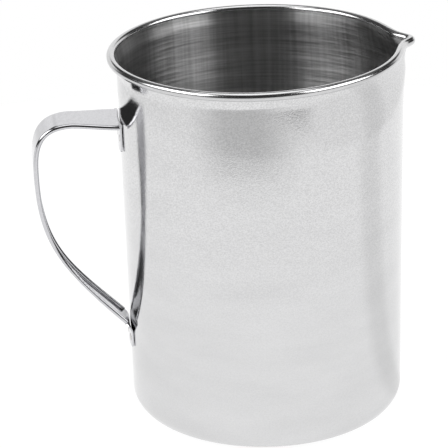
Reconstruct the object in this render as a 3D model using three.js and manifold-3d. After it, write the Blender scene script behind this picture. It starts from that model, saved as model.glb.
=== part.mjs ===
// Candle melting pot: a deep-drawn stainless pitcher with a rolled rim, a small pinched spout
// and one open strap handle whose two end tabs are spot-welded to the wall.
//
// Units are millimetres and +Z is up. The origin is the middle of the base, on the pot's axis.
// The spout points along +X and the handle along -X.

import * as THREE from "three";
import { mergeVertices } from "three/addons/utils/BufferGeometryUtils.js";
import Module from "manifold-3d";

const GAP = 0.3; // clearance between two pieces that touch

// Pot body
const POT_HEIGHT = 193.0;
const WALL = 0.8; // sheet thickness
const TOP_RADIUS = 72.5; // outside of the wall, just under the flare
const FLARE = 1.1; // the wall opens this much more just under the rolled rim
const FLARE_DEPTH = 8;
const BASE_RADIUS = 71.2; // outside of the wall, where the base corner starts
const CORNER_RADIUS = 8.5; // outside of the round base corner
const BEAD_RADIUS = 2.2; // outside of the rolled rim
const BEAD_END = -125; // degrees round the bead where the rolled edge stops
const BEAD_STEPS = 9;
const CORNER_STEPS = 4;
const LATHE_SEGMENTS = 80;
const SPOUT_CROWDING = 0.75; // draws the lathe's segments together towards the spout
const WALL_LEVELS = [0, 0.5, 0.76, 0.86, 0.91, 0.94, 0.963, 0.985]; // rows of vertices up the wall

// Spout
const PINCH_DEPTH = 4.6; // how far the rim is drawn in on both sides of the spout
const PINCH_REACH = 140; // degrees from the spout where the rim is round again
const LIP_REACH = 7.3; // how far the lip stands out of the pinched rim
const LIP_ANGLE = 4.4; // degrees over which the lip's flank falls to about a third
const LIP_TIP = 1.6; // degrees that the lip's tip is rounded over
const RIM_RISE = 1.2; // the pinched rim stands this much higher
const LIP_DIP = 1.0; // and dips again at the lip
const DIP_ANGLE = 12;
const BULGE = 4.0; // the wall under the lip stands out this far, less and less further down
const BULGE_ANGLE = 14;
const BULGE_DEPTH = 11; // the drop over which the bulge falls to about a third
const NEAR_FADE = 9; // the drop over which the rim's own shape fades, beside the spout
const FAR_FADE = 30; // and away from it
const NEAR_ANGLE = 60;
const FADE_POWER = 1.5;

// Handle strap: its outer face, seen from the side as distance from the axis and height
const STRAP_THICKNESS = 0.8;
const ARM_HEIGHT = 160.5; // upper arm at the wall
const ARM_END = new THREE.Vector2(97.0, 162.2); // where the upper arm starts to turn down
const REACH = new THREE.Vector2(117.5, 138.0); // the farthest point from the pot
const LOWER_JOINT = new THREE.Vector2(74.3, 48.4); // where the lower arm folds down
const TURN_OUT = 14.8; // control lengths of the round upper corner
const TURN_DOWN = 16.8;
const GRIP_DROP = 47; // control lengths of the long lower curve
const LOWER_PULL = 44;
const LOWER_ANGLE = 47.5; // degrees below the horizontal at which the lower arm meets the pot
const FOLD_RADIUS = 1.3;
const UPPER_TAB_BOTTOM = 144.2;
const LOWER_TAB_BOTTOM = 36.0;
const CURL_START = 110; // degrees round the curl
const CURL_END = -190;
const CURL_STEPS = 8;
const CURL_SETBACK = 0.8; // from the upper fold to the start of the curls
const CURL_SHORTFALL = 1.8; // from the end of the curls to the lower fold
const WAIST = 0.42; // how far down the grip the strap is narrowest
const WALL_FIT = 18; // distance from the wall over which the strap flattens out
const STRAP_COLUMNS = 4;
const STRAP_STEPS = { line: 4, fold: 4, corner: 9, grip: 15 };

// Spot welds
const WELD_RADIUS = 2.0;
const WELD_THICKNESS = 0.6;
const WELD_SEGMENTS = 16;
const UPPER_WELD_SPREAD = 5.2; // sideways from the handle's middle plane
const LOWER_WELD_SPREAD = 5.5;

const STEEL = { roughness: 0.22, metalness: 1.0 };
const BODY_MATERIAL = { color: 0xc9cacc, ...STEEL };
const HANDLE_MATERIAL = { color: 0xd2d2d6, ...STEEL };
const WELD_MATERIAL = { color: 0x8f8a84, roughness: 0.45, metalness: 1.0 };

const radians = THREE.MathUtils.degToRad;
const clamp = THREE.MathUtils.clamp;
const bell = (x) => Math.exp(-x * x);
const hump = (angle, reach) => 0.5 + 0.5 * Math.cos(Math.PI * Math.min(Math.abs(angle) / reach, 1));

const wasm = await Module();
wasm.setup();

// ---------------------------------------------------------------- pot body

const WALL_FOOT = CORNER_RADIUS;
const WALL_HEAD = POT_HEIGHT - BEAD_RADIUS;

// Outside radius of the drawn wall at a height.
function wallRadius(z) {
  const up = clamp((z - WALL_FOOT) / (WALL_HEAD - WALL_FOOT), 0, 1);
  const flare = FLARE * THREE.MathUtils.smoothstep(z, WALL_HEAD - FLARE_DEPTH, WALL_HEAD);
  return THREE.MathUtils.lerp(BASE_RADIUS, TOP_RADIUS, up) + flare;
}

// Points on an arc, from one angle to the other, in degrees.
function arcPoints(x, y, radius, from, to, steps) {
  return Array.from({ length: steps + 1 }, (_, i) => {
    const angle = radians(from + ((to - from) * i) / steps);
    return new THREE.Vector2(x + radius * Math.cos(angle), y + radius * Math.sin(angle));
  });
}

// Half section: up the outside, round inside the rolled rim, back over it, down the inside.
function potProfile() {
  const cornerCentre = BASE_RADIUS - CORNER_RADIUS;
  const beadCentre = wallRadius(WALL_HEAD) - WALL + BEAD_RADIUS;
  const heights = WALL_LEVELS.map((t) => THREE.MathUtils.lerp(WALL_FOOT, WALL_HEAD, t));
  const outside = heights.slice(1).map((z) => new THREE.Vector2(wallRadius(z), z));
  const inside = heights.slice(1).map((z) => new THREE.Vector2(wallRadius(z) - WALL, z));
  const corner = (radius, from, to) =>
    arcPoints(cornerCentre, CORNER_RADIUS, radius, from, to, CORNER_STEPS);
  const bead = (radius, from, to) =>
    arcPoints(beadCentre, WALL_HEAD, radius, from, to, BEAD_STEPS);
  return [
    new THREE.Vector2(0, 0),
    ...corner(CORNER_RADIUS, -90, 0),
    ...outside,
    ...bead(BEAD_RADIUS - WALL, 180, BEAD_END),
    ...bead(BEAD_RADIUS, BEAD_END, 180),
    ...inside.reverse(),
    ...corner(CORNER_RADIUS - WALL, 0, -90),
    new THREE.Vector2(0, WALL),
  ];
}

// How far the spout's forming moves the wall outwards, at an angle from the spout and a height.
function spoutOffset(angle, z) {
  const drop = Math.max(WALL_HEAD - BEAD_RADIUS - z, 0);
  const length = THREE.MathUtils.lerp(FAR_FADE, NEAR_FADE, hump(angle, NEAR_ANGLE));
  const fade = (1 - clamp(drop / length, 0, 1)) ** FADE_POWER;
  const bulge = BULGE * bell(angle / BULGE_ANGLE);
  const lip = LIP_REACH * Math.exp((LIP_TIP - Math.hypot(angle, LIP_TIP)) / LIP_ANGLE);
  const rim = lip - PINCH_DEPTH * hump(angle, PINCH_REACH);
  const rise = RIM_RISE * hump(angle, PINCH_REACH) - LIP_DIP * bell(angle / DIP_ANGLE);
  const below = bulge * Math.exp(-drop / BULGE_DEPTH);
  return { out: below + (rim - bulge) * fade, up: rise * fade };
}

// The inner face of the wall, seen from above, as a point at an angle in degrees.
function innerFace(angle, z) {
  const radius = wallRadius(z) - WALL + spoutOffset(angle, z).out;
  return new THREE.Vector2(radius, 0).rotateAround(new THREE.Vector2(), radians(angle));
}

// Moves a turned vertex to where the spout's forming puts it, square to the wall.
function formVertex(vertex) {
  const radius = Math.hypot(vertex.x, vertex.y);
  if (radius < BASE_RADIUS - CORNER_RADIUS || vertex.z < WALL_FOOT) return vertex;
  const angle = THREE.MathUtils.radToDeg(Math.atan2(vertex.y, vertex.x));
  const nearby = 0.05;
  const face = innerFace(angle, vertex.z);
  const along = innerFace(angle + nearby, vertex.z).sub(innerFace(angle - nearby, vertex.z));
  const outwards = new THREE.Vector2(along.y, -along.x).normalize();
  face.addScaledVector(outwards, radius - (wallRadius(vertex.z) - WALL));
  return vertex.set(face.x, face.y, vertex.z + spoutOffset(angle, vertex.z).up);
}

// Turns a vertex round the axis so that more of them stand near the spout.
function crowdVertex(vertex) {
  const radius = Math.hypot(vertex.x, vertex.y);
  const angle = Math.atan2(vertex.y, vertex.x);
  const moved = angle - SPOUT_CROWDING * Math.sin(angle);
  return vertex.set(radius * Math.cos(moved), radius * Math.sin(moved), vertex.z);
}

// Applies a function to every vertex of a geometry.
function mapVertices(geometry, move) {
  const position = geometry.getAttribute("position");
  const vertex = new THREE.Vector3();
  for (let i = 0; i < position.count; i++) {
    vertex.fromBufferAttribute(position, i);
    move(vertex);
    position.setXYZ(i, vertex.x, vertex.y, vertex.z);
  }
  return geometry;
}

function potGeometry() {
  const turned = new THREE.LatheGeometry(potProfile(), LATHE_SEGMENTS);
  turned.rotateX(Math.PI / 2);
  return mapVertices(mapVertices(turned, crowdVertex), formVertex);
}

// ------------------------------------------------------------ handle strap

// Side outline of the strap's outer face. On the upper tab that face lies against the pot.
function strapPath() {
  const upperFace = wallRadius(ARM_HEIGHT) + GAP;
  const lowerFace = wallRadius(LOWER_TAB_BOTTOM) + GAP + STRAP_THICKNESS;
  const lower = radians(LOWER_ANGLE);
  const heading = new THREE.Vector2(-Math.cos(lower), -Math.sin(lower));
  const control = LOWER_JOINT.clone().addScaledVector(heading, -LOWER_PULL);
  const toTab = (LOWER_JOINT.x - lowerFace) / Math.cos(lower);
  const foldTop = LOWER_JOINT.y - toTab * Math.sin(lower);
  const path = new THREE.Path();
  path.moveTo(upperFace, UPPER_TAB_BOTTOM);
  path.lineTo(upperFace, ARM_HEIGHT - FOLD_RADIUS);
  path.absarc(
    upperFace + FOLD_RADIUS, ARM_HEIGHT - FOLD_RADIUS, FOLD_RADIUS, Math.PI, Math.PI / 2, true,
  );
  path.lineTo(ARM_END.x, ARM_END.y);
  path.bezierCurveTo(
    ARM_END.x + TURN_OUT, ARM_END.y, REACH.x, REACH.y + TURN_DOWN, REACH.x, REACH.y,
  );
  path.bezierCurveTo(
    REACH.x, REACH.y - GRIP_DROP, control.x, control.y, LOWER_JOINT.x, LOWER_JOINT.y,
  );
  path.quadraticCurveTo(lowerFace, foldTop, lowerFace, foldTop - toTab);
  path.lineTo(lowerFace, LOWER_TAB_BOTTOM);
  return path;
}

const PATH = strapPath();
const PATH_LENGTH = PATH.getLength();
const PATH_MARKS = [0, ...PATH.getCurveLengths()]; // distance along the path at each joint
const [
  , UPPER_FOLD_START, UPPER_FOLD_END, ARM_MARK, REACH_MARK, LOWER_FOLD_START, LOWER_FOLD_END,
] = PATH_MARKS;

// Distances along the path at which the strap has a row of vertices.
function strapStations() {
  const steps = STRAP_STEPS;
  const counts = [
    steps.line, steps.fold, steps.line, steps.corner, steps.grip, steps.fold, steps.line,
  ];
  const stations = [0];
  counts.forEach((count, i) => {
    const span = PATH_MARKS[i + 1] - PATH_MARKS[i];
    for (let k = 1; k <= count; k++) stations.push(PATH_MARKS[i] + (span * k) / count);
  });
  return stations;
}

// Half the strap's width: wide at the pot, narrowest in the lower grip.
const WIDTH_STATIONS = [
  [UPPER_FOLD_START, 8.8],
  [UPPER_FOLD_END, 14.4],
  [ARM_MARK, 11.2],
  [REACH_MARK, 9.8],
  [THREE.MathUtils.lerp(REACH_MARK, LOWER_FOLD_START, WAIST), 5.2],
  [LOWER_FOLD_START - CURL_SHORTFALL, 9.3],
  [LOWER_FOLD_START, 11.0],
  [LOWER_FOLD_END, 9.6],
];

// Outside radius of the rolled edges.
const CURL_STATIONS = [
  [UPPER_FOLD_END, 1.25],
  [REACH_MARK, 1.3],
  [THREE.MathUtils.lerp(REACH_MARK, LOWER_FOLD_START, WAIST), 1.2],
  [LOWER_FOLD_START, 1.1],
];

// A measure that changes smoothly from one station to the next.
function measureAt(stations, distance) {
  const next = stations.findIndex(([mark]) => mark >= distance);
  const i = next < 0 ? stations.length - 1 : Math.max(next, 1);
  const [[fromMark, from], [toMark, to]] = [stations[i - 1], stations[i]];
  return THREE.MathUtils.lerp(from, to, THREE.MathUtils.smoothstep(distance, fromMark, toMark));
}

const halfWidth = (distance) => measureAt(WIDTH_STATIONS, distance);
const curlRadius = (distance) => measureAt(CURL_STATIONS, distance);

// A point of the strap: distance along it, sideways from its middle, and depth below its outer
// face. Close to the pot the strap follows the wall's curve.
function strapPoint(distance, sideways, depth) {
  const t = distance / PATH_LENGTH;
  const place = PATH.getPoint(t);
  const heading = PATH.getTangent(t);
  const r = place.x + depth * heading.y;
  const z = place.y - depth * heading.x;
  const radius = wallRadius(place.y);
  const sagitta = radius - Math.sqrt(radius ** 2 - sideways ** 2);
  const fit = 1 - THREE.MathUtils.smoothstep(r, radius + FOLD_RADIUS, radius + WALL_FIT);
  return new THREE.Vector3(-(r - sagitta * fit), sideways, z);
}

// A unit box with rows of vertices, each vertex placed by a function of its three fractions.
function bentBox(columns, stations, place) {
  const rows = stations.length - 1;
  return mapVertices(new THREE.BoxGeometry(1, 1, 1, columns, 1, rows), (vertex) => {
    const row = Math.round((vertex.z + 0.5) * rows);
    vertex.copy(place(0.5 - vertex.x, vertex.y + 0.5, stations[row]));
  });
}

const CURL_FROM = UPPER_FOLD_END + CURL_SETBACK;
const CURL_TO = LOWER_FOLD_START - CURL_SHORTFALL;
const isCurled = (distance) => distance > CURL_FROM - 0.01 && distance < CURL_TO + 0.01;

// The flat of the strap, which narrows by one curl radius where its edges are rolled.
function flatGeometry() {
  const curlEnds = [CURL_FROM - GAP, CURL_FROM, CURL_TO, CURL_TO + GAP];
  const stations = [...strapStations(), ...curlEnds].sort((a, b) => a - b);
  return bentBox(STRAP_COLUMNS, stations, (across, face, distance) => {
    const half = halfWidth(distance) - (isCurled(distance) ? curlRadius(distance) : 0);
    return strapPoint(distance, (2 * across - 1) * half, (1 - face) * STRAP_THICKNESS);
  });
}

// One rolled edge, on the side given by its sign.
function curlGeometry(side) {
  const stations = strapStations().filter((mark) => mark > CURL_FROM + 1 && mark < CURL_TO - 1);
  return bentBox(CURL_STEPS, [CURL_FROM, ...stations, CURL_TO], (around, face, distance) => {
    const turn = side > 0 ? 1 - around : around;
    const angle = radians(THREE.MathUtils.lerp(CURL_END, CURL_START, turn));
    const outside = curlRadius(distance);
    const radius = outside - (1 - face) * STRAP_THICKNESS;
    const sideways = halfWidth(distance) - outside + radius * Math.cos(angle);
    return strapPoint(distance, side * sideways, outside - radius * Math.sin(angle));
  });
}

// ------------------------------------------------------------------- welds

// A weld's middle on the pot wall, and the turn that lays a cylinder square to the wall.
function weldPlace(height, spread) {
  const angle = Math.PI - Math.asin(spread / wallRadius(height));
  const radius = wallRadius(height) + GAP + WELD_THICKNESS / 2;
  return { angle, position: [radius * Math.cos(angle), radius * Math.sin(angle), height] };
}

function weldGeometry(radius, thickness, { angle, position }) {
  const disc = new THREE.CylinderGeometry(radius, radius, thickness, WELD_SEGMENTS);
  return disc.rotateZ(Math.PI / 2).rotateZ(angle).translate(...position);
}

const UPPER_WELD_HEIGHT = (UPPER_TAB_BOTTOM + ARM_HEIGHT - FOLD_RADIUS) / 2 - 0.5;
const LOWER_WELD_HEIGHT = LOWER_TAB_BOTTOM + 4.6;
const WELDS = {
  upper_weld_near: weldPlace(UPPER_WELD_HEIGHT, -UPPER_WELD_SPREAD),
  upper_weld_far: weldPlace(UPPER_WELD_HEIGHT, UPPER_WELD_SPREAD),
  lower_weld_near: weldPlace(LOWER_WELD_HEIGHT, -LOWER_WELD_SPREAD),
  lower_weld_far: weldPlace(LOWER_WELD_HEIGHT, LOWER_WELD_SPREAD),
};

// ---------------------------------------------------------------- assembly

function toSolid(geometry) {
  const bare = geometry.clone().deleteAttribute("normal").deleteAttribute("uv");
  const merged = mergeVertices(bare, 1e-4);
  return new wasm.Manifold(
    new wasm.Mesh({
      numProp: 3,
      vertProperties: merged.getAttribute("position").array,
      triVerts: new Uint32Array(merged.index.array),
    }),
  );
}

function toGeometry(solid) {
  const mesh = solid.getMesh();
  const geometry = new THREE.BufferGeometry();
  geometry.setAttribute("position", new THREE.BufferAttribute(mesh.vertProperties, 3));
  geometry.setIndex(new THREE.BufferAttribute(mesh.triVerts, 1));
  return geometry;
}

function strapGeometry() {
  let solid = toSolid(flatGeometry());
  for (const side of [1, -1]) solid = solid.add(toSolid(curlGeometry(side)));
  for (const place of Object.values(WELDS)) {
    const hole = weldGeometry(WELD_RADIUS + GAP, 4 * STRAP_THICKNESS, place);
    solid = solid.subtract(toSolid(hole));
  }
  return toGeometry(solid);
}

function namedMesh(name, geometry, finish) {
  const mesh = new THREE.Mesh(geometry, new THREE.MeshStandardMaterial(finish));
  mesh.name = name;
  return mesh;
}

const pot = new THREE.Group();
pot.add(namedMesh("pot_body", potGeometry(), BODY_MATERIAL));
pot.add(namedMesh("handle_strap", strapGeometry(), HANDLE_MATERIAL));
for (const [name, place] of Object.entries(WELDS)) {
  const nugget = weldGeometry(WELD_RADIUS, WELD_THICKNESS, place);
  pot.add(namedMesh(name, nugget, WELD_MATERIAL));
}

export default pot;
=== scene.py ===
"""Looks of a stainless steel candle melting pot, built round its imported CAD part.

Metres, +Z up. The pot's axis is the Z axis, the spout points along +X and the handle along -X.
"""

import math

import bmesh
import bpy
import numpy as np
from mathutils import Matrix, Vector


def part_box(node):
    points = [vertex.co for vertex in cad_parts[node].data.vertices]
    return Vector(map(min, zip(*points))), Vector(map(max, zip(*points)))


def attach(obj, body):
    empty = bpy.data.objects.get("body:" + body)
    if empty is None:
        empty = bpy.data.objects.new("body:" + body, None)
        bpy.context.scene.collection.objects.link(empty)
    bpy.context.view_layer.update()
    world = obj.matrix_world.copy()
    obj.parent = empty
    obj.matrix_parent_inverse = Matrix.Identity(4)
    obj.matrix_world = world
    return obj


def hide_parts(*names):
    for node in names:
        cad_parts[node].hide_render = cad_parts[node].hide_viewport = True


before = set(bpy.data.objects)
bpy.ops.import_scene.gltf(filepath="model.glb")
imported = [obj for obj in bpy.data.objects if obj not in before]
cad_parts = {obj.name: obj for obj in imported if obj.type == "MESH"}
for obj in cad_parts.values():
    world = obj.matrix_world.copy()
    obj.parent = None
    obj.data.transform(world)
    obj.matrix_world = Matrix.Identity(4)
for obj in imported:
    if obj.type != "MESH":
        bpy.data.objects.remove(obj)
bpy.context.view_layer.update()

MM = 0.001

# ---------------------------------------------------------------- dimensions

GAP = 0.3 * MM  # clearance between two pieces that touch

# Pot body
POT_HEIGHT = 193.0 * MM
WALL = 0.8 * MM  # sheet thickness
TOP_RADIUS = 72.5 * MM
FLARE = 1.1 * MM
FLARE_DEPTH = 8 * MM
BASE_RADIUS = 71.2 * MM
CORNER_RADIUS = 8.5 * MM
BEAD_RADIUS = 2.2 * MM
BEAD_END = -125  # degrees round the rolled rim where its edge stops
WALL_FOOT = CORNER_RADIUS
WALL_HEAD = POT_HEIGHT - BEAD_RADIUS
POT_COLUMNS = 288
SPOUT_CROWDING = 0.75  # draws the columns together towards the spout

# Spout, with angles in degrees from its middle
PINCH_DEPTH = 4.6 * MM
PINCH_REACH = 140
LIP_REACH = 7.3 * MM
LIP_ANGLE = 4.4
LIP_TIP = 1.6
RIM_RISE = 1.2 * MM
LIP_DIP = 1.0 * MM
DIP_ANGLE = 12
BULGE = 4.0 * MM
BULGE_ANGLE = 14
BULGE_DEPTH = 11 * MM
NEAR_FADE = 9 * MM
FAR_FADE = 30 * MM
NEAR_ANGLE = 60
FADE_POWER = 1.5

# Handle strap: its outer face, as distance from the axis and height
STRAP_THICKNESS = 0.8 * MM
ARM_HEIGHT = 160.5 * MM
ARM_END = np.array((97.0, 162.2)) * MM
REACH = np.array((117.5, 138.0)) * MM
LOWER_JOINT = np.array((74.3, 48.4)) * MM
TURN_OUT = 14.8 * MM
TURN_DOWN = 16.8 * MM
GRIP_DROP = 47 * MM
LOWER_PULL = 44 * MM
LOWER_ANGLE = math.radians(47.5)
FOLD_RADIUS = 1.3 * MM
UPPER_TAB_BOTTOM = 144.2 * MM
LOWER_TAB_BOTTOM = 36.0 * MM
CURL_END = -190  # degrees round the rolled strap edge where it stops; it starts at 90
CURL_SETBACK = 0.8 * MM
CURL_SHORTFALL = 1.8 * MM
WAIST = 0.42
WALL_FIT = 18 * MM
TAB_CORNER = 2.2 * MM
STRETCH_OVERLAP = 0.3 * MM  # the flat stretches run into the rolled one by this much
BROKEN_EDGE = 0.12 * MM

# Spot welds
WELD_RADIUS = 2.0 * MM
# The print's rings from the middle out: radius, and height above the tab
WELD_PRINT = np.array(
    ((0, 0.02), (0.9, 0.05), (1.3, 0.10), (1.6, 0.16), (1.85, 0.12), (2.0, 0.0))
) * MM
UPPER_WELD_SPREAD = 5.2 * MM
LOWER_WELD_SPREAD = 5.5 * MM

# Mesh detail
SHARP_ANGLE = math.radians(40)  # edges that turn by more are shaded sharp, and broken on the strap
MERGE_DISTANCE = 1e-7
BASE_RINGS = 16
WALL_LEVELS = 70
PATH_STEPS = 160  # points on each curve of the strap's path
CURL_ALONG = 150  # along the rolled stretch
CURL_ROUND = 28  # round each rolled edge
CURL_ACROSS = 17
FLAT_ALONG = 60  # along each flat stretch
FLAT_ACROSS = 33
WELD_COLUMNS = 40

# Camera, with angles in degrees
CAMERA_ROUND = 8.3  # from the pot's broad side, towards the handle
CAMERA_DISTANCE = 1.0426  # horizontal, from the pot's axis
CAMERA_HEIGHT = 0.5188
CAMERA_YAW = -1.124
CAMERA_PITCH = 22.034
CAMERA_ROLL = -1.674
CAMERA_FOCAL = 173.7
CAMERA_SENSOR = 36
CAMERA_NEAR, CAMERA_FAR = 0.05, 50

# Studio lights, each a strength and its windows (bearing, start, end, softness) in degrees.
# Azimuth is 0 towards the camera and grows to the right, aside is azimuth without its sign, and
# elevation is 90 overhead.
LIGHTS = [
    (3.6, ("azimuth", 41, 180, 5), ("azimuth", -20, 100, 1.5), ("elevation", 16, 50, 5)),
    (3.8, ("azimuth", -98, -39, 3), ("elevation", 16, 50, 5)),
    (0.95, ("aside", 163, 200, 3), ("elevation", 18, 36, 2)),
    (1.0, ("aside", 132, 200, 8), ("elevation", -2, 18, 2)),
    (0.12, ("aside", 110, 200, 15), ("elevation", 38, 70, 8)),
    (1.5, ("elevation", 66, 120, 5)),
]
GROUND = (0.95, ("elevation", -120, -2, 2))
GROUND_SHADES = [
    (0.34, ("azimuth", -44, 14, 20)),
    (0.14, ("azimuth", 90, 112, 7)),
    (0.96, ("azimuth", -38, 38, 10), ("elevation", -12, 10, 2)),
]
LEFT_SHADE = (0.12, ("azimuth", -165, -100, 6), ("elevation", -10, 10, 5))
AMBIENT = 0.04

# Floor
FLOOR_RADIUS = 0.52
FLOOR_SIDES = 128
FLOOR_DROP = 0.2 * MM  # the floor lies this far below the base
FLOOR_GLOW = 0.90
FLOOR_TONE = 0.16
FRONT_SHADE = (0.43, ("azimuth", -42, 16, 20))
SIDE_SHADE = (0.14, ("azimuth", 80, 102, 7))
SHADE_NEAR, SHADE_FAR = 0.43, 0.50  # the front shade comes in softly over this distance

# Steel surfaces
GRAIN_FADE = 0.10  # the grain softens over this height
GRAIN_LEFT = 0.2  # share of the grain left below that
TONE_RANGE = (0.3, 0.7)  # noise that gives the dark and the light tone
GLOSS_RANGE = (0.25, 0.75)  # noise that gives the least and the most roughness
GLOSS_TURN = 0.25  # a quarter turn, so that the anisotropic gloss spreads up and down


def lerp(a, b, t):
    return a + (b - a) * t


def smoothstep(x, start, end):
    t = np.clip((x - start) / (end - start), 0, 1)
    return t * t * (3 - 2 * t)


def bell(x):
    return np.exp(-x * x)


def hump(angle, reach):
    return 0.5 + 0.5 * np.cos(np.pi * np.minimum(np.abs(angle) / reach, 1))


# -------------------------------------------------------------------- meshes


def add_mesh(name, points, faces, slots=None):
    """A smooth-shaded mesh object; slots gives a material index for each face."""
    mesh = bpy.data.meshes.new(name)
    mesh.from_pydata([tuple(p) for p in points], [], faces)
    if slots is not None:
        mesh.polygons.foreach_set("material_index", slots)
    work = bmesh.new()
    work.from_mesh(mesh)
    bmesh.ops.remove_doubles(work, verts=work.verts, dist=MERGE_DISTANCE)
    bmesh.ops.recalc_face_normals(work, faces=work.faces)
    work.to_mesh(mesh)
    work.free()
    mesh.shade_smooth()
    mesh.set_sharp_from_angle(angle=SHARP_ANGLE)
    piece = bpy.data.objects.new(name, mesh)
    bpy.context.collection.objects.link(piece)
    return piece


def grid_faces(rows, columns, offset=0, closed=False, flip=False):
    """Quads over a grid of points numbered row by row."""
    faces = []
    for r in range(rows - 1):
        for c in range(columns if closed else columns - 1):
            d = (c + 1) % columns
            quad = (r * columns + c, r * columns + d, (r + 1) * columns + d, (r + 1) * columns + c)
            quad = tuple(i + offset for i in quad)
            faces.append(quad[::-1] if flip else quad)
    return faces


def sheet_solid(outer, inner):
    """Points and faces of the closed solid between two grids of the same shape."""
    rows, columns, _ = outer.shape
    count = rows * columns
    points = np.concatenate((outer.reshape(-1, 3), inner.reshape(-1, 3)))
    faces = grid_faces(rows, columns) + grid_faces(rows, columns, count, flip=True)
    ring = [(0, c) for c in range(columns - 1)] + [(r, columns - 1) for r in range(rows - 1)]
    ring += [(rows - 1, c) for c in range(columns - 1, 0, -1)]
    ring += [(r, 0) for r in range(rows - 1, 0, -1)]
    index = [r * columns + c for r, c in ring]
    for a, b in zip(index, index[1:] + index[:1]):
        faces.append((b, a, a + count, b + count))
    return points, faces


def joined(solids):
    """Several (points, faces) as one."""
    points, faces, offset = [], [], 0
    for solid_points, solid_faces in solids:
        points.append(solid_points)
        faces += [tuple(i + offset for i in face) for face in solid_faces]
        offset += len(solid_points)
    return np.concatenate(points), faces


# ------------------------------------------------------------------ pot body


def wall_radius(z):
    up = np.clip((z - WALL_FOOT) / (WALL_HEAD - WALL_FOOT), 0, 1)
    flare = FLARE * smoothstep(z, WALL_HEAD - FLARE_DEPTH, WALL_HEAD)
    return lerp(BASE_RADIUS, TOP_RADIUS, up) + flare


def spout_offset(angle, z):
    """How far the spout's forming moves the wall outwards and up."""
    drop = np.maximum(WALL_HEAD - BEAD_RADIUS - z, 0)
    length = lerp(FAR_FADE, NEAR_FADE, hump(angle, NEAR_ANGLE))
    fade = (1 - np.clip(drop / length, 0, 1)) ** FADE_POWER
    bulge = BULGE * bell(angle / BULGE_ANGLE)
    lip = LIP_REACH * np.exp((LIP_TIP - np.hypot(angle, LIP_TIP)) / LIP_ANGLE)
    rim = lip - PINCH_DEPTH * hump(angle, PINCH_REACH)
    rise = RIM_RISE * hump(angle, PINCH_REACH) - LIP_DIP * bell(angle / DIP_ANGLE)
    return bulge * np.exp(-drop / BULGE_DEPTH) + (rim - bulge) * fade, rise * fade


def inner_face(angle, z):
    radius = wall_radius(z) - WALL + spout_offset(angle, z)[0]
    return np.stack((radius * np.cos(np.radians(angle)), radius * np.sin(np.radians(angle))), -1)


def formed(radius, angle, z):
    """A turned point, moved square to the wall to where the spout's forming puts it."""
    nearby = 0.05  # degrees
    along = inner_face(angle + nearby, z) - inner_face(angle - nearby, z)
    along /= np.linalg.norm(along, axis=-1, keepdims=True)
    outwards = np.stack((along[..., 1], -along[..., 0]), -1)
    flat = inner_face(angle, z) + outwards * (radius - (wall_radius(z) - WALL))[..., None]
    turned = np.stack((radius * np.cos(np.radians(angle)), radius * np.sin(np.radians(angle))), -1)
    is_base = ((radius < BASE_RADIUS - CORNER_RADIUS) | (z < WALL_FOOT))[..., None]
    height = np.where(is_base[..., 0], z, z + spout_offset(angle, z)[1])
    return np.concatenate((np.where(is_base, turned, flat), height[..., None]), -1)


def arc(x, z, radius, start, end, steps):
    turn = np.radians(np.linspace(start, end, steps + 1))
    return np.stack((x + radius * np.cos(turn), z + radius * np.sin(turn)), -1)


def pot_profile():
    """Half section as (part, points): underside, outside, inside of the roll, rim, inside."""
    corner = BASE_RADIUS - CORNER_RADIUS
    bead = wall_radius(WALL_HEAD) - WALL + BEAD_RADIUS
    levels = lerp(WALL_FOOT, WALL_HEAD, 1 - (1 - np.linspace(0, 1, WALL_LEVELS)) ** 1.5)[1:-1]
    outside = np.stack((wall_radius(levels), levels), -1)
    inside = outside[::-1] - (WALL, 0)
    rings = np.linspace(0, corner, BASE_RINGS)[:-1]
    return [
        ("base", np.stack((rings, np.zeros_like(rings)), -1)),
        ("base", arc(corner, CORNER_RADIUS, CORNER_RADIUS, -90, -30, steps=10)[:-1]),
        ("outside", arc(corner, CORNER_RADIUS, CORNER_RADIUS, -30, 0, steps=6)),
        ("outside", outside),
        ("rim", arc(bead, WALL_HEAD, BEAD_RADIUS - WALL, 180, BEAD_END, steps=40)),
        ("rim", arc(bead, WALL_HEAD, BEAD_RADIUS, BEAD_END, 180, steps=56)),
        ("inside", inside),
        ("inside", arc(corner, CORNER_RADIUS, CORNER_RADIUS - WALL, 0, -90, steps=14)),
        ("inside", np.stack((rings[::-1], np.full_like(rings, WALL)), -1)),
    ]


POT_SLOTS = ["outside", "rim", "inside", "base"]


def pot_piece():
    parts = pot_profile()
    profile = np.concatenate([points for _, points in parts])
    labels = [part for part, points in parts for _ in points]
    turn = np.linspace(-np.pi, np.pi, POT_COLUMNS, endpoint=False)
    angle = np.degrees(turn - SPOUT_CROWDING * np.sin(turn))
    radius, angle = np.meshgrid(profile[:, 0], angle, indexing="ij")
    z = np.broadcast_to(profile[:, 1:], radius.shape)
    points = formed(radius, angle, z).reshape(-1, 3)
    faces = grid_faces(len(profile), POT_COLUMNS, closed=True)
    slots = [POT_SLOTS.index(labels[i // POT_COLUMNS + 1]) for i in range(len(faces))]
    return add_mesh("pot_body_steel", points, faces, slots)


# -------------------------------------------------------------- handle strap


def bezier(points):
    t = np.linspace(0, 1, PATH_STEPS)[:, None]
    points = [np.asarray(p) for p in points]
    while len(points) > 1:
        points = [lerp(a, b, t) for a, b in zip(points, points[1:])]
    return points[0]


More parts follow.
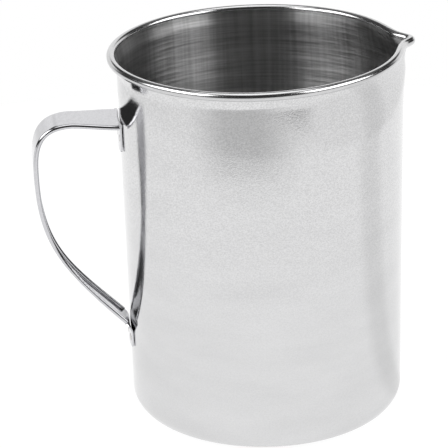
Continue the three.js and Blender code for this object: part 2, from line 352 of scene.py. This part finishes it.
def strap_path():
    """The strap's side outline as a list of stretches, each a run of points."""
    upper = wall_radius(ARM_HEIGHT) + GAP
    lower = wall_radius(LOWER_TAB_BOTTOM) + GAP + STRAP_THICKNESS
    heading = -np.array((math.cos(LOWER_ANGLE), math.sin(LOWER_ANGLE)))
    to_tab = (LOWER_JOINT[0] - lower) / math.cos(LOWER_ANGLE)
    fold_top = LOWER_JOINT[1] - to_tab * math.sin(LOWER_ANGLE)
    fold_end = (lower, fold_top - to_tab)
    arm_start = (upper + FOLD_RADIUS, ARM_HEIGHT)
    turn_foot = (upper, ARM_HEIGHT - FOLD_RADIUS)
    out = ARM_END + (TURN_OUT, 0)
    return [
        bezier([(upper, UPPER_TAB_BOTTOM), turn_foot]),
        arc(upper + FOLD_RADIUS, ARM_HEIGHT - FOLD_RADIUS, FOLD_RADIUS, 180, 90, steps=40),
        bezier([arm_start, ARM_END]),
        bezier([ARM_END, out, REACH + (0, TURN_DOWN), REACH]),
        bezier([REACH, REACH - (0, GRIP_DROP), LOWER_JOINT - heading * LOWER_PULL, LOWER_JOINT]),
        bezier([LOWER_JOINT, (lower, fold_top), fold_end]),
        bezier([fold_end, (lower, LOWER_TAB_BOTTOM)]),
    ]


def measured(stretches):
    """Points, their distances along the path, and the distance at the end of each stretch."""
    points, marks, length = [stretches[0][:1]], [0.0], 0.0
    distances = [np.zeros(1)]
    for stretch in stretches:
        steps = np.cumsum(np.linalg.norm(np.diff(stretch, axis=0), axis=1))
        points.append(stretch[1:])
        distances.append(length + steps)
        length += steps[-1]
        marks.append(length)
    return np.concatenate(points), np.concatenate(distances), marks


PATH, PATH_DISTANCE, MARKS = measured(strap_path())
UPPER_FOLD_START, UPPER_FOLD_END, ARM_MARK = MARKS[1:4]
REACH_MARK, LOWER_FOLD_START, LOWER_FOLD_END = MARKS[4:7]
PATH_LENGTH = MARKS[-1]
CURL_FROM = UPPER_FOLD_END + CURL_SETBACK
CURL_TO = LOWER_FOLD_START - CURL_SHORTFALL
HALF_WIDTHS = [
    (UPPER_FOLD_START, 8.8 * MM),
    (UPPER_FOLD_END, 14.4 * MM),
    (ARM_MARK, 11.2 * MM),
    (REACH_MARK, 9.8 * MM),
    (lerp(REACH_MARK, LOWER_FOLD_START, WAIST), 5.2 * MM),
    (CURL_TO, 9.3 * MM),
    (LOWER_FOLD_START, 11.0 * MM),
    (LOWER_FOLD_END, 9.6 * MM),
]
CURL_RADII = [
    (UPPER_FOLD_END, 1.25 * MM),
    (REACH_MARK, 1.3 * MM),
    (lerp(REACH_MARK, LOWER_FOLD_START, WAIST), 1.2 * MM),
    (LOWER_FOLD_START, 1.1 * MM),
]


def measure_at(stations, distance):
    """A measure that changes smoothly from one station to the next."""
    value = np.full_like(distance, stations[0][1])
    for (start, before), (end, after) in zip(stations, stations[1:]):
        changing = lerp(before, after, smoothstep(distance, start, end))
        value = np.where(distance > start, changing, value)
    return value


def along_path(distance):
    return np.stack([np.interp(distance, PATH_DISTANCE, PATH[:, i]) for i in (0, 1)], -1)


def strap_point(distance, sideways, depth):
    """A point of the strap: distance along it, sideways, and depth below its outer face."""
    place = along_path(distance)
    nearby = 0.2 * MM
    heading = along_path(distance + nearby) - along_path(distance - nearby)
    heading /= np.linalg.norm(heading, axis=-1, keepdims=True)
    r = place[..., 0] + depth * heading[..., 1]
    z = place[..., 1] - depth * heading[..., 0]
    radius = wall_radius(place[..., 1])
    sagitta = radius - np.sqrt(radius**2 - sideways**2)
    fit = 1 - smoothstep(r, radius + FOLD_RADIUS, radius + WALL_FIT)
    return np.stack((-(r - sagitta * fit), sideways + 0 * r, z), -1)


def curled_solid():
    """The stretch of the strap whose two edges are rolled in, as one bent sheet."""
    stations = np.linspace(CURL_FROM, CURL_TO, CURL_ALONG)[:, None]
    outside = measure_at(CURL_RADII, stations)
    flat = measure_at(HALF_WIDTHS, stations) - outside
    turn = np.radians(np.linspace(90, CURL_END, CURL_ROUND))
    across = np.linspace(-1, 1, CURL_ACROSS)[1:-1]

    def surface(radius):
        edge = radius * np.cos(turn)
        rolled = outside - radius * np.sin(turn)
        level = (outside - radius) + 0 * across
        sideways = np.concatenate((-(flat + edge)[:, ::-1], flat * across, flat + edge), 1)
        depth = np.concatenate((rolled[:, ::-1], level, rolled), 1)
        return strap_point(stations, sideways, depth)

    return sheet_solid(surface(outside), surface(outside - STRAP_THICKNESS))


def flat_solid(start, end):
    """A flat stretch of the strap at full width, with round corners at the strap's own ends."""
    stations = np.linspace(start, end, FLAT_ALONG)
    to_end = np.minimum(stations, PATH_LENGTH - stations)
    cut = TAB_CORNER - np.minimum(to_end, TAB_CORNER)
    corner = TAB_CORNER - np.sqrt(TAB_CORNER**2 - cut**2)
    half = (measure_at(HALF_WIDTHS, stations) - corner)[:, None]
    sideways = half * np.linspace(-1, 1, FLAT_ACROSS)
    stations = stations[:, None]
    return sheet_solid(
        strap_point(stations, sideways, 0 * sideways),
        strap_point(stations, sideways, STRAP_THICKNESS + 0 * sideways),
    )


def strap_piece():
    solids = [
        flat_solid(0, CURL_FROM + STRETCH_OVERLAP),
        curled_solid(),
        flat_solid(CURL_TO - STRETCH_OVERLAP, PATH_LENGTH),
    ]
    piece = add_mesh("handle_strap_steel", *joined(solids))
    bevel = piece.modifiers.new("broken edges", "BEVEL")
    bevel.width = BROKEN_EDGE
    bevel.segments = 2
    bevel.limit_method = "ANGLE"
    bevel.angle_limit = SHARP_ANGLE
    return piece


# --------------------------------------------------------------------- welds


def weld_piece(name, spread):
    """A spot weld's shallow print on a tab: a dished disc inside a slightly raised ring."""
    low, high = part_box(name)
    height = (low.z + high.z) / 2
    face = GAP + STRAP_THICKNESS
    radius = wall_radius(height)
    turn = np.linspace(0, 2 * np.pi, WELD_COLUMNS, endpoint=False)
    centre = math.pi - math.asin(spread / radius)

    def ring(r, level):
        side = r * np.cos(turn)
        up = r * np.sin(turn)
        angle = centre + side / radius
        out = radius + level
        return np.stack((out * np.cos(angle), out * np.sin(angle), height + up), -1)

    rows = [ring(r, face + lift) for r, lift in WELD_PRINT]
    rows += [ring(r, GAP) for r in (WELD_RADIUS, 0)]
    points = np.concatenate(rows)
    return add_mesh(name + "_print", points, grid_faces(len(rows), WELD_COLUMNS, closed=True))


# ----------------------------------------------------------------- materials


class Nodes:
    """Short calls for building a node tree."""

    def __init__(self, tree):
        self.tree = tree

    def add(self, kind, **settings):
        node = self.tree.nodes.new(kind)
        for key, value in settings.items():
            setattr(node, key, value)
        return node

    def plug(self, value, socket):
        if isinstance(value, bpy.types.NodeSocket):
            self.tree.links.new(value, socket)
        else:
            socket.default_value = value

    def math(self, operation, *values):
        node = self.add("ShaderNodeMath", operation=operation)
        for value, socket in zip(values, node.inputs):
            self.plug(value, socket)
        return node.outputs[0]

    def ramp(self, value, start, end, low=0.0, high=1.0):
        node = self.add("ShaderNodeMapRange", interpolation_type="SMOOTHSTEP")
        for item, socket in zip((value, start, end, low, high), node.inputs):
            self.plug(item, socket)
        return node.outputs[0]

    def noise(self, vector, detail=2.0, roughness=0.5):
        node = self.add("ShaderNodeTexNoise")
        self.plug(vector, node.inputs["Vector"])
        node.inputs["Scale"].default_value = 1.0
        node.inputs["Detail"].default_value = detail
        node.inputs["Roughness"].default_value = roughness
        return node.outputs["Fac"]

    def scaled(self, vector, x, y, z):
        node = self.add("ShaderNodeVectorMath", operation="MULTIPLY")
        self.plug(vector, node.inputs[0])
        node.inputs[1].default_value = (x, y, z)
        return node.outputs[0]

    def mix(self, factor, first, second):
        node = self.add("ShaderNodeMix", data_type="RGBA")
        self.plug(factor, node.inputs["Factor"])
        self.plug(first, node.inputs["A"])
        self.plug(second, node.inputs["B"])
        return node.outputs["Result"]

    def bearings(self, x, y):
        """Azimuth from the camera's side of the pot, and the same without its sign."""
        round_by = math.radians(CAMERA_ROUND)
        s, c = math.sin(round_by), math.cos(round_by)
        front = self.math("ADD", self.math("MULTIPLY", x, -s), self.math("MULTIPLY", y, -c))
        right = self.math("ADD", self.math("MULTIPLY", x, c), self.math("MULTIPLY", y, -s))
        azimuth = self.math("ARCTAN2", right, front)
        return {"azimuth": azimuth, "aside": self.math("ABSOLUTE", azimuth)}

    def light(self, bearings, strength, *windows):
        """The strength inside all the windows, fading to nothing at their soft edges."""
        total = strength
        for bearing, *limits in windows:
            start, end, soft = (math.radians(v) for v in limits)
            rise = self.ramp(bearings[bearing], start - soft, start + soft)
            fall = self.ramp(bearings[bearing], end - soft, end + soft, 1.0, 0.0)
            total = self.math("MULTIPLY", self.math("MULTIPLY", rise, fall), total)
        return total

    def less(self, value, shade):
        """The value with a share of it taken away."""
        return self.math("MULTIPLY", value, self.math("SUBTRACT", 1.0, shade))

    def length(self, x, y):
        squares = self.math("ADD", self.math("MULTIPLY", x, x), self.math("MULTIPLY", y, y))
        return self.math("SQRT", squares)

    def round_the_axis(self):
        """Coordinates on the pot's wall: metres round it, height, distance from the axis."""
        place = self.add("ShaderNodeTexCoord").outputs["Object"]
        split = self.add("ShaderNodeSeparateXYZ")
        self.plug(place, split.inputs[0])
        x, y, z = split.outputs
        angle = self.math("ARCTAN2", y, self.math("MULTIPLY", x, -1.0))
        on_wall = self.add("ShaderNodeCombineXYZ")
        self.plug(self.math("MULTIPLY", angle, float(TOP_RADIUS)), on_wall.inputs[0])
        self.plug(z, on_wall.inputs[1])
        self.plug(self.length(x, y), on_wall.inputs[2])
        return on_wall.outputs[0]


def steel(name, light, dark, roughness, spread, grain, bump, anisotropy=0.0,
          clouds=(60, 18, 60), cloudy=0.2, smooth_below=0.0):
    """Steel with a fine grain.

    The tone lies between light and dark, and the roughness within spread of its middle value.
    grain and clouds are noise scales (round, up, out), cloudy is the clouds' share of the tone,
    bump is the depth of the grain, and the grain softens below the height smooth_below.
    """
    material = bpy.data.materials.new(name)
    material.use_nodes = True
    nodes = Nodes(material.node_tree)
    shader = material.node_tree.nodes["Principled BSDF"]
    shader.inputs["Metallic"].default_value = 1.0
    where = nodes.round_the_axis()
    marks = nodes.noise(nodes.scaled(where, *grain), detail=3.0, roughness=0.6)
    patches = nodes.noise(nodes.scaled(where, *clouds))
    height = nodes.add("ShaderNodeSeparateXYZ")
    nodes.plug(where, height.inputs[0])
    depth = nodes.ramp(height.outputs[1], smooth_below - GRAIN_FADE, smooth_below, GRAIN_LEFT, 1.0)
    marks = nodes.math("MULTIPLY_ADD", nodes.math("SUBTRACT", marks, 0.5), depth, 0.5)
    tone = nodes.math("ADD", nodes.math("MULTIPLY", marks, 1 - cloudy),
                      nodes.math("MULTIPLY", patches, cloudy))
    tone = nodes.ramp(tone, *TONE_RANGE)
    nodes.plug(nodes.mix(tone, (*dark, 1), (*light, 1)), shader.inputs["Base Color"])
    gloss = nodes.ramp(marks, *GLOSS_RANGE, roughness - spread, roughness + spread)
    nodes.plug(gloss, shader.inputs["Roughness"])
    relief = nodes.add("ShaderNodeBump")
    relief.inputs["Strength"].default_value = 1.0
    relief.inputs["Distance"].default_value = bump
    nodes.plug(marks, relief.inputs["Height"])
    nodes.plug(relief.outputs[0], shader.inputs["Normal"])
    if anisotropy:
        shader.inputs["Anisotropic"].default_value = anisotropy
        shader.inputs["Anisotropic Rotation"].default_value = GLOSS_TURN
        tangent = nodes.add("ShaderNodeTangent", direction_type="RADIAL", axis="Z")
        nodes.plug(tangent.outputs[0], shader.inputs["Tangent"])
    return material


# ------------------------------------------------------------ light and floor


def studio_world():
    """Soft studio light for reflections; the camera itself sees an even white."""
    world = bpy.data.worlds.new("studio")
    bpy.context.scene.world = world
    world.use_nodes = True
    nodes = Nodes(world.node_tree)
    direction = nodes.add("ShaderNodeTexCoord").outputs["Generated"]
    split = nodes.add("ShaderNodeSeparateXYZ")
    nodes.plug(direction, split.inputs[0])
    x, y, z = split.outputs
    bearings = nodes.bearings(x, y)
    bearings["elevation"] = nodes.math("ARCSINE", z)
    ground = nodes.light(bearings, *GROUND)
    for shade in GROUND_SHADES:
        ground = nodes.less(ground, nodes.light(bearings, *shade))
    level = ground
    for light in LIGHTS:
        level = nodes.math("ADD", level, nodes.light(bearings, *light))
    level = nodes.math("ADD", nodes.less(level, nodes.light(bearings, *LEFT_SHADE)), AMBIENT)

    seen = nodes.add("ShaderNodeLightPath").outputs["Is Camera Ray"]
    strength = nodes.math("ADD", seen, nodes.less(level, seen))
    background = world.node_tree.nodes["Background"]
    background.inputs["Color"].default_value = (1, 1, 1, 1)
    nodes.plug(strength, background.inputs["Strength"])


def floor_piece():
    """A plain pale floor; the camera sees it white, and reflections see it softly shaded."""
    bpy.ops.mesh.primitive_circle_add(vertices=FLOOR_SIDES, radius=FLOOR_RADIUS, fill_type="NGON",
                                      location=(0, 0, -FLOOR_DROP))
    floor = bpy.context.object
    floor.name = "floor"
    material = bpy.data.materials.new("floor_paper")
    material.use_nodes = True
    nodes = Nodes(material.node_tree)
    shader = material.node_tree.nodes["Principled BSDF"]
    split = nodes.add("ShaderNodeSeparateXYZ")
    nodes.plug(nodes.add("ShaderNodeTexCoord").outputs["Object"], split.inputs[0])
    x, y, _ = split.outputs
    bearings = nodes.bearings(x, y)
    front = nodes.math("MULTIPLY", nodes.light(bearings, *FRONT_SHADE),
                       nodes.ramp(nodes.length(x, y), SHADE_NEAR, SHADE_FAR))
    shade = nodes.math("ADD", front, nodes.light(bearings, *SIDE_SHADE))
    seen = nodes.add("ShaderNodeLightPath").outputs["Is Camera Ray"]
    glow = nodes.less(FLOOR_GLOW, nodes.less(shade, seen))
    nodes.plug(glow, shader.inputs["Emission Strength"])
    shader.inputs["Base Color"].default_value = (FLOOR_TONE, FLOOR_TONE, FLOOR_TONE, 1)
    shader.inputs["Roughness"].default_value = 1.0
    shader.inputs["Specular IOR Level"].default_value = 0.0
    shader.inputs["Emission Color"].default_value = (1, 1, 1, 1)
    floor.data.materials.append(material)


def photo_camera():
    camera = bpy.data.objects.new("camera", bpy.data.cameras.new("camera"))
    bpy.context.collection.objects.link(camera)
    camera.data.lens = CAMERA_FOCAL
    camera.data.sensor_width = CAMERA_SENSOR
    camera.data.clip_start = CAMERA_NEAR
    camera.data.clip_end = CAMERA_FAR
    round_by = math.radians(CAMERA_ROUND)
    place = Vector((-math.sin(round_by), -math.cos(round_by), 0)) * CAMERA_DISTANCE
    place.z = CAMERA_HEIGHT
    camera.matrix_world = (
        Matrix.Translation(place)
        @ Matrix.Rotation(-round_by - math.radians(CAMERA_YAW), 4, "Z")
        @ Matrix.Rotation(math.radians(90 - CAMERA_PITCH), 4, "X")
        @ Matrix.Rotation(math.radians(CAMERA_ROLL), 4, "Z")
    )
    bpy.context.scene.camera = camera


# ------------------------------------------------------------------ assembly

photo_camera()
studio_world()
floor_piece()
bpy.context.scene.view_settings.view_transform = "Standard"

materials = {
    "outside": steel(
        "satin_steel", light=(0.74, 0.74, 0.745), dark=(0.58, 0.58, 0.585), roughness=0.075,
        spread=0.03, grain=(1200, 1500, 60), bump=0.00003, clouds=(25, 90, 60), cloudy=0.14,
        smooth_below=0.15),
    "rim": steel(
        "polished_rim", light=(0.64, 0.64, 0.645), dark=(0.58, 0.58, 0.585), roughness=0.17,
        spread=0.03, grain=(300, 1200, 1200), bump=0.000001),
    "inside": steel(
        "brushed_inside", light=(0.58, 0.58, 0.58), dark=(0.38, 0.38, 0.38), roughness=0.33,
        spread=0.05, grain=(30, 900, 60), bump=0.000003, anisotropy=0.9, clouds=(420, 12, 60),
        cloudy=0.42),
    "base": steel(
        "satin_base", light=(0.68, 0.68, 0.685), dark=(0.62, 0.62, 0.625), roughness=0.22,
        spread=0.04, grain=(900, 900, 900), bump=0.000003),
    "handle": steel(
        "handle_steel", light=(0.64, 0.64, 0.66), dark=(0.57, 0.57, 0.59), roughness=0.06,
        spread=0.02, grain=(500, 700, 900), bump=0.000002),
    "weld": steel(
        "weld_steel", light=(0.66, 0.65, 0.64), dark=(0.55, 0.53, 0.52), roughness=0.28,
        spread=0.08, grain=(1500, 1500, 1500), bump=0.00001),
}

body = pot_piece()
for slot in POT_SLOTS:
    body.data.materials.append(materials[slot])
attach(body, "root")
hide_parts("pot_body")

strap = strap_piece()
strap.data.materials.append(materials["handle"])
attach(strap, "root")
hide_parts("handle_strap")

for height_name, spread in (("upper", UPPER_WELD_SPREAD), ("lower", LOWER_WELD_SPREAD)):
    for side_name, side in (("near", -1), ("far", 1)):
        node = f"{height_name}_weld_{side_name}"
        weld = weld_piece(node, side * spread)
        weld.data.materials.append(materials["weld"])
        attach(weld, "root")
        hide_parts(node)
